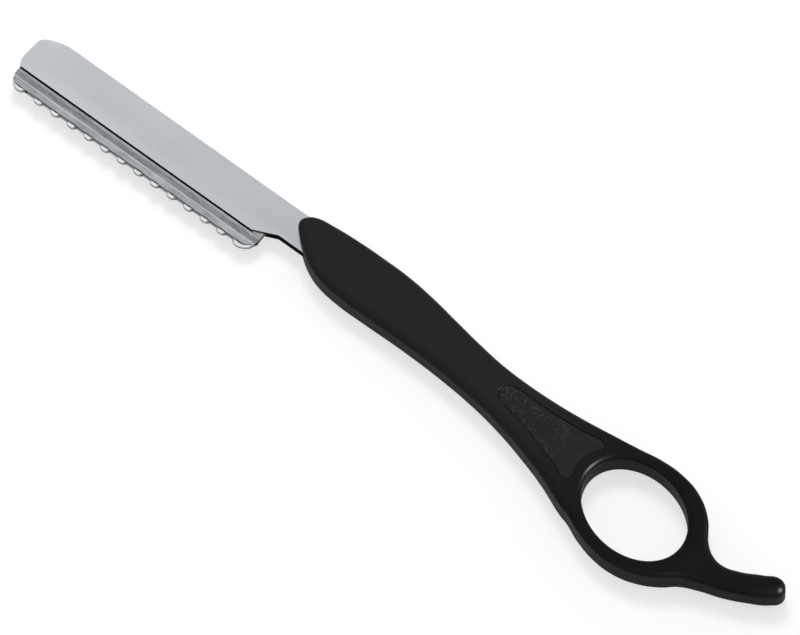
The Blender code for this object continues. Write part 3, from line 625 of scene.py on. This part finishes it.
def makeGuard(g):
    wall = guardWall(g)
    patches = wall + mirrored(wall)
    rim = toothRim(g)
    root = np.stack([rim[:, 0], np.full(len(rim), -g["slotEdge"] + g["rootOver"])], 1)
    for index in range(g["toothCount"]):
        shift = (g["firstTooth"] + index * g["pitch"], 0)
        patches += roundFold(root + shift, rim + shift, g)
    for (name, points), power in zip(bumperRims.items(), g["cornerPower"]):
        rim = smoothLine(points)
        first, last = g["bumperRoot"]
        along = np.linspace(first, rim[-1, 0] - last, len(rim))
        root = np.stack([along, wallEdge(along, power, g) + g["rootOver"]], 1)
        if name == "right":
            rim, root = rim * (-1, 1) + (g["length"], 0), root * (-1, 1) + (g["length"], 0)
        patches += roundFold(root, rim, g)
    piece = makePiece("combGuard", patches, 40, 0.0005)

    def paintedSheenAndWear(place, normal):
        # the ridge where the wall turns flat
        ridge = np.exp(-((place[:, 1] - g["ridge"]) / g["ridgeWidth"]) ** 2)
        # Painted highlight: flat faces along the ridge are painted paler.
        return g["ridgePaintedHighlight"] * ridge * (np.abs(normal[:, 2]) > 0.9)

    dress(piece, [brushedSheet, polishedFoldPaintedHighlight, stampedEdgeAndPaintedShade], "guard", "comb_guard", paintedSheenAndWear)


makeGuard(guard)


# Handle shells

handle = {"length": 149.1, "depth": 29.7, "thickness": 8.8, "holeLength": 28.85, "holeWidth": 21.9,
          "holeTurn": radians(-10.2), "holePlace": (0.7265, -0.0845), "wall": 3.2, "holeEdge": 1.45,
          "partingGap": 0.05, "edgeAlong": (0, 12, 30, 55, 85, 100, 124, 133, 150),
          "edgeRadius": (1.5, 1.7, 2.1, 2.2, 1.9, 1.45, 1.45, 2.3, 2.3), "flatMargin": 0.04,
          "fieldDepth": 1.3, "fieldRound": 0.20, "pocketFace": 0.15, "pocketSide": 0.3,
          "plateSlope": 4.2, "dowelRoom": 0.1, "dowelEnd": 0.2, "screwRoom": 0.15,
          "headSpan": (-1.0, 1.3), "shankInset": 0.75}

frontEndShares = [(0.133, -0.024), (0.089, 0.031), (0.053, 0.105), (0.023, 0.185), (0.002, 0.272),
                  (0.010, 0.332), (0.031, 0.377)]
gripTopShares = [(0.089, 0.407), (0.1595, 0.423), (0.243, 0.429), (0.330, 0.425), (0.414, 0.397),
                 (0.501, 0.353), (0.590, 0.309), (0.672, 0.277), (0.7545, 0.267), (0.843, 0.273),
                 (0.932, 0.294), (1.021, 0.327)]
gripLowShares = [(1.031, -0.416), (0.942, -0.306), (0.855, -0.223), (0.7545, -0.147), (0.656, -0.099),
                 (0.546, -0.070), (0.424, -0.058), (0.2975, -0.061), (0.2055, -0.057)]
tailShares = [(0.063, 0.050), (0.182, -0.013), (0.324, -0.029), (0.498, 0.012), (0.710, 0.100),
              (0.8775, 0.161), (0.974, 0.128), (1.000, 0.058), (0.910, -0.024), (0.710, -0.118),
              (0.472, -0.205), (0.240, -0.266), (0.047, -0.330)]
ringTopShares = {116: 1.04, 96: 0.95, 76: 1.12, 56: 1.37, 36: 1.53}
ringLowShares = {322: 1.40, 303: 1.15, 283: 1.06, 263: 1.01, 243: 1.06, 226: 1.30}
fieldShares = [(0.713, 0.044), (0.710, 0.092), (0.723, 0.150), (0.7595, 0.177), (0.814, 0.173),
               (0.893, 0.181), (0.967, 0.204), (1.014, 0.221), (1.0265, 0.200), (1.011, 0.090),
               (0.999, -0.040), (1.007, -0.170), (0.9995, -0.213), (0.947, -0.168), (0.8795, -0.105),
               (0.8155, -0.045), (0.756, -0.009)]

holeMiddle = np.array(handle["holePlace"]) * (handle["length"], handle["depth"])
ringReach = handle["holeLength"] / 2 + handle["wall"]
gripLength, tailStart = holeMiddle[0] - ringReach, holeMiddle[0] + ringReach


def onRing(angle, outside, h):
    # Points this far outside the hole's edge, at angles in degrees round it.
    turned = np.radians(angle) - h["holeTurn"]
    along = (h["holeLength"] / 2 + outside) * np.cos(turned)
    across = (h["holeWidth"] / 2 + outside) * np.sin(turned)
    c, s = cos(h["holeTurn"]), sin(h["holeTurn"])
    return np.stack([holeMiddle[0] + along * c - across * s, holeMiddle[1] + along * s + across * c], -1)


def ringPart(table, h):
    return onRing(np.array(list(table)), h["wall"] * np.array(list(table.values())), h)


def handleOutlines(h):
    onGrip = lambda shares: np.array(shares) * (gripLength, h["depth"])
    tail = np.array(tailShares) * (h["length"] - tailStart, h["depth"]) + (tailStart, 0)
    outline = np.concatenate([onGrip(frontEndShares + gripTopShares), ringPart(ringTopShares, h), tail,
                              ringPart(ringLowShares, h), onGrip(gripLowShares)])
    hole = onRing(-360 * np.arange(240) / 240, 0, h)
    start = (handleStart, 0)
    return smoothOutline(outline) + start, hole + start, smoothOutline(onGrip(fieldShares), 16) + start


def handlePockets(h, hold):
    # What stands inside the handle: the tang, the plate between its leaves, the dowels and the screws.
    leaf, side = hold["thickness"] / 2 + h["pocketFace"], h["pocketSide"]
    near, far = drawn("tang_stiffener")
    plate = [(near[0], hold["neckRise"]), (near[0], far[1] + side),
             (handleStart + hold["tang"], far[1] + side),
             (far[0] + side, far[1] - h["plateSlope"] + side), (far[0] + side, near[1] - side),
             (handleStart + hold["tang"], hold["neckRise"])]
    pockets = [prism(holderPlan(hold, side), middle - leaf, middle + leaf),
               prism(plate, near[2] - h["pocketFace"], far[2] + h["pocketFace"])]
    for name in ("tang_pin_front", "tang_pin_rear"):
        low, high = drawn(name)[0][2], drawn(name)[1][2]
        pockets.append(roundBore(name, h["dowelRoom"], low - h["dowelEnd"], high + h["dowelEnd"]))
    for name in ("shell_screw_front", "shell_screw_rear"):
        low, high = drawn(name)[0][2], drawn(name)[1][2]
        under, over = h["headSpan"]
        pockets.append(roundBore(name, h["screwRoom"], low + under, low + over))
        pockets.append(roundBore(name, -h["shankInset"], low, high + h["screwRoom"]))
    return pockets


def makeShell(name, side, node, h):
    # Bands carried round the outline, the finger hole and the field, with the flat faces between them
    # filled: a band rises up the wall, turns over the edge in a quarter circle and runs on flat.
    outline, hole, field = handleOutlines(h)
    top, parting, margin = h["thickness"], middle + h["partingGap"] / 2, h["flatMargin"]
    radius = np.interp(outline[:, 0] - handleStart, h["edgeAlong"], h["edgeRadius"])
    turn = np.linspace(0, pi / 2, 13)[:, None]
    patches, inner = [], []
    for loop, r, towards in ((outline, radius, inwards(outline)),
                             (hole, np.full(len(hole), h["holeEdge"]), -inwards(hole))):
        r = r[None]
        inset = np.concatenate([0 * r, 0 * r, r * (1 - np.cos(turn)), r + margin])
        height = np.concatenate([parting + 0 * r, (parting + top - r) / 2, top - r + r * np.sin(turn),
                                 top + 0 * r])
        patches.append(band(loop, inset, height, towards))
        inner.append(loop + towards * (r[0] + margin)[:, None])
    into, r, lean = inwards(field), h["fieldRound"], np.linspace(0, pi / 2, 7)
    inset = np.concatenate([[-r - margin], -r + r * np.sin(lean), [0, margin]])
    height = np.concatenate([[top], top - r + r * np.cos(lean), [top - h["fieldDepth"]] * 2])
    patches += [band(field, inset, height, into), flatFill(inner + [field + into * inset[0]], top),
                flatFill([field + into * margin], top - h["fieldDepth"]), flatFill([outline, hole], parting)]
    shell = makePiece(name, patches if side > 0 else mirrored(patches))
    cutWith(shell, handlePockets(h, holder))
    dress(shell, [blackPlastic], "handle", node)


makeShell("frontShell", 1, "handle_front_shell", handle)
makeShell("rearShell", -1, "handle_rear_shell", handle)


# Grip inlays

inlay = {"sideGap": 0.04, "below": 0.14, "underGap": 0.1, "edgeRound": 0.28, "margin": 0.04}


def makeInlay(name, side, node, s, h):
    # The field's outline, a little inside its wall: up the side, over a soft edge and flat.
    _, _, field = handleOutlines(h)
    into = inwards(field)
    floor, top = h["thickness"] - h["fieldDepth"] + s["underGap"], h["thickness"] - s["below"]
    r = s["edgeRound"]
    turn = np.linspace(0, pi / 2, 9)
    inset = s["sideGap"] + np.concatenate([[0], r * (1 - np.cos(turn)), [r + s["margin"]]])
    height = np.concatenate([[floor], top - r + r * np.sin(turn), [top]])
    patches = [band(field, inset, height, into), flatFill([field + into * inset[-1]], top),
               flatFill([field + into * inset[0]], floor)]
    piece = makePiece(name, patches if side > 0 else mirrored(patches))
    dress(piece, [gripRubber], "handle", node)


makeInlay("frontInlay", 1, "grip_inlay_front", inlay, handle)
makeInlay("rearInlay", -1, "grip_inlay_rear", inlay, handle)


# CAD pieces that keep their shape

for name, finish in (("thinning_blade", groundBlade), ("tang_stiffener", plainPlate),
                     ("tang_pin_front", plainPlate), ("tang_pin_rear", plainPlate),
                     ("shell_screw_front", platedFastener), ("shell_screw_rear", platedFastener)):
    mesh = nodes[name].data
    mesh.materials.clear()
    mesh.materials.append(finish)
print("pieces made")


# Floor, light and camera

studio = {"floorSize": 6.0, "floorColour": 0.48, "floorGlow": 0.655, "glossGlow": 0.45, "dim": 0.20,
          "ceiling": 0.92, "ceilingRise": (0.52, 0.80), "ceilingNear": (-0.15, 0.10),
          "wall": 0.75, "wallFall": (0.62, 0.48), "wallFar": (0.0, 0.5),
          "nearFill": 0.30, "nearShine": 0.95, "nearSide": (0.0, -0.25),
          "sideShine": 0.85, "sideFall": (0.45, 0.25),
          "softbox": {"place": (-0.255, 0.209, 0.65), "size": (0.29, 0.30), "power": 0.10},
          "keyLamp": {"place": (-0.285, 0.373, 0.883), "size": (0.26, 0.26), "power": 3.0, "mirrored": False},
          "rimLamp": {"place": (0.64, 0.10, 0.28), "size": (0.14, 0.14), "power": 24.0, "diffuse": False}}
view = {"turn": 37.37, "lift": 68.0, "distance": 6.3468, "lens": 1200.0, "aim": (111.63, 3.50, 5.8)}


def makeFloor(s):
    half = s["floorSize"] / 2
    mesh = bpy.data.meshes.new("floor")
    corners = [(-half, -half, 0), (half, -half, 0), (half, half, 0), (-half, half, 0)]
    mesh.from_pydata(corners, [], [(0, 1, 2, 3)])
    floor = bpy.data.objects.new("floor", mesh)
    bpy.context.scene.collection.objects.link(floor)
    finish = bpy.data.materials.new("paleFloor")
    finish.use_nodes = True
    tree = finish.node_tree
    tree.nodes.clear()
    matt = addNode(tree, "BsdfDiffuse", {"Color": tint(s["floorColour"])})
    rays = addNode(tree, "LightPath")
    seen = math(tree, "MAXIMUM", rays.outputs["Is Camera Ray"], rays.outputs["Is Transmission Ray"])
    seen = math(tree, "MAXIMUM", seen, math(tree, "MULTIPLY", rays.outputs["Is Glossy Ray"], s["glossGlow"]))
    glow = addNode(tree, "Emission", {"Strength": math(tree, "MULTIPLY", seen, s["floorGlow"])})
    both = addNode(tree, "AddShader", {0: matt.outputs[0], 1: glow.outputs[0]})
    addNode(tree, "OutputMaterial", {"Surface": both.outputs[0]})
    mesh.materials.append(finish)


def addLamp(name, s):
    lamp = bpy.data.lights.new(name, "AREA")
    lamp.shape = "RECTANGLE"
    lamp.size, lamp.size_y = s["size"]
    lamp.energy = s["power"]
    lampObject = bpy.data.objects.new(name, lamp)
    lampObject.location = s["place"]
    lampObject.rotation_euler = (-Vector(s["place"])).to_track_quat("-Z", "Y").to_euler()
    lampObject.visible_glossy, lampObject.visible_diffuse = s.get("mirrored", True), s.get("diffuse", True)
    bpy.context.scene.collection.objects.link(lampObject)


def makeWorld(s, v):
    # A bright ceiling, a pale wall low behind the object and dim surroundings. On the viewer's side a
    # soft fill, which metal sees as the white background; plain white where the camera looks past the floor.
    world = bpy.data.worlds.new("studio")
    world.use_nodes = True
    tree = world.node_tree
    spot = addNode(tree, "TexCoord").outputs["Generated"]
    height = addNode(tree, "SeparateXYZ", {0: spot}).outputs["Z"]
    back = (-sin(radians(v["turn"])), cos(radians(v["turn"])), 0)
    far = addNode(tree, "VectorMath", {0: spot, 1: back}, operation="DOT_PRODUCT").outputs["Value"]
    rays = addNode(tree, "LightPath")

    def fade(value, limits, top=1.0):
        return remap(tree, value, *limits, 0.0, top, "SMOOTHSTEP")

    ceiling = math(tree, "MULTIPLY", fade(height, s["ceilingRise"], s["ceiling"]),
                   fade(far, s["ceilingNear"]))
    wall = math(tree, "MULTIPLY", fade(height, s["wallFall"], s["wall"]), fade(far, s["wallFar"]))
    near = math(tree, "MULTIPLY", fade(far, s["nearSide"]),
                remap(tree, rays.outputs["Is Glossy Ray"], 0, 1, s["nearFill"], s["nearShine"]))
    side = math(tree, "MULTIPLY", fade(height, s["sideFall"], s["sideShine"]), rays.outputs["Is Glossy Ray"])
    low = math(tree, "MAXIMUM", math(tree, "MAXIMUM", near, side), s["dim"])
    light = math(tree, "MAXIMUM", math(tree, "ADD", ceiling, wall), low)
    colour = mixColour(tree, rays.outputs["Is Camera Ray"], light, (1, 1, 1, 1))
    tree.links.new(colour, tree.nodes["Background"].inputs["Color"])
    bpy.context.scene.world = world


def makeCamera(v):
    camera = bpy.data.cameras.new("camera")
    camera.lens, camera.sensor_width = v["lens"], 36.0
    camera.clip_start, camera.clip_end = 0.05, 20
    turn, lift = radians(v["turn"]), radians(v["lift"])
    away = Vector((sin(turn) * cos(lift), -cos(turn) * cos(lift), sin(lift)))
    cameraObject = bpy.data.objects.new("camera", camera)
    cameraObject.location = Vector(v["aim"]) * mm + Vector((cornerX, cornerY, 0)) + away * v["distance"]
    cameraObject.rotation_euler = (radians(90) - lift, 0, turn)
    bpy.context.scene.collection.objects.link(cameraObject)
    bpy.context.scene.camera = cameraObject


makeFloor(studio)
addLamp("softbox", studio["softbox"])
addLamp("keyLamp", studio["keyLamp"])
addLamp("rimLamp", studio["rimLamp"])
makeWorld(studio, view)
makeCamera(view)
bpy.context.scene.view_settings.view_transform = "Standard"
print("studio set")
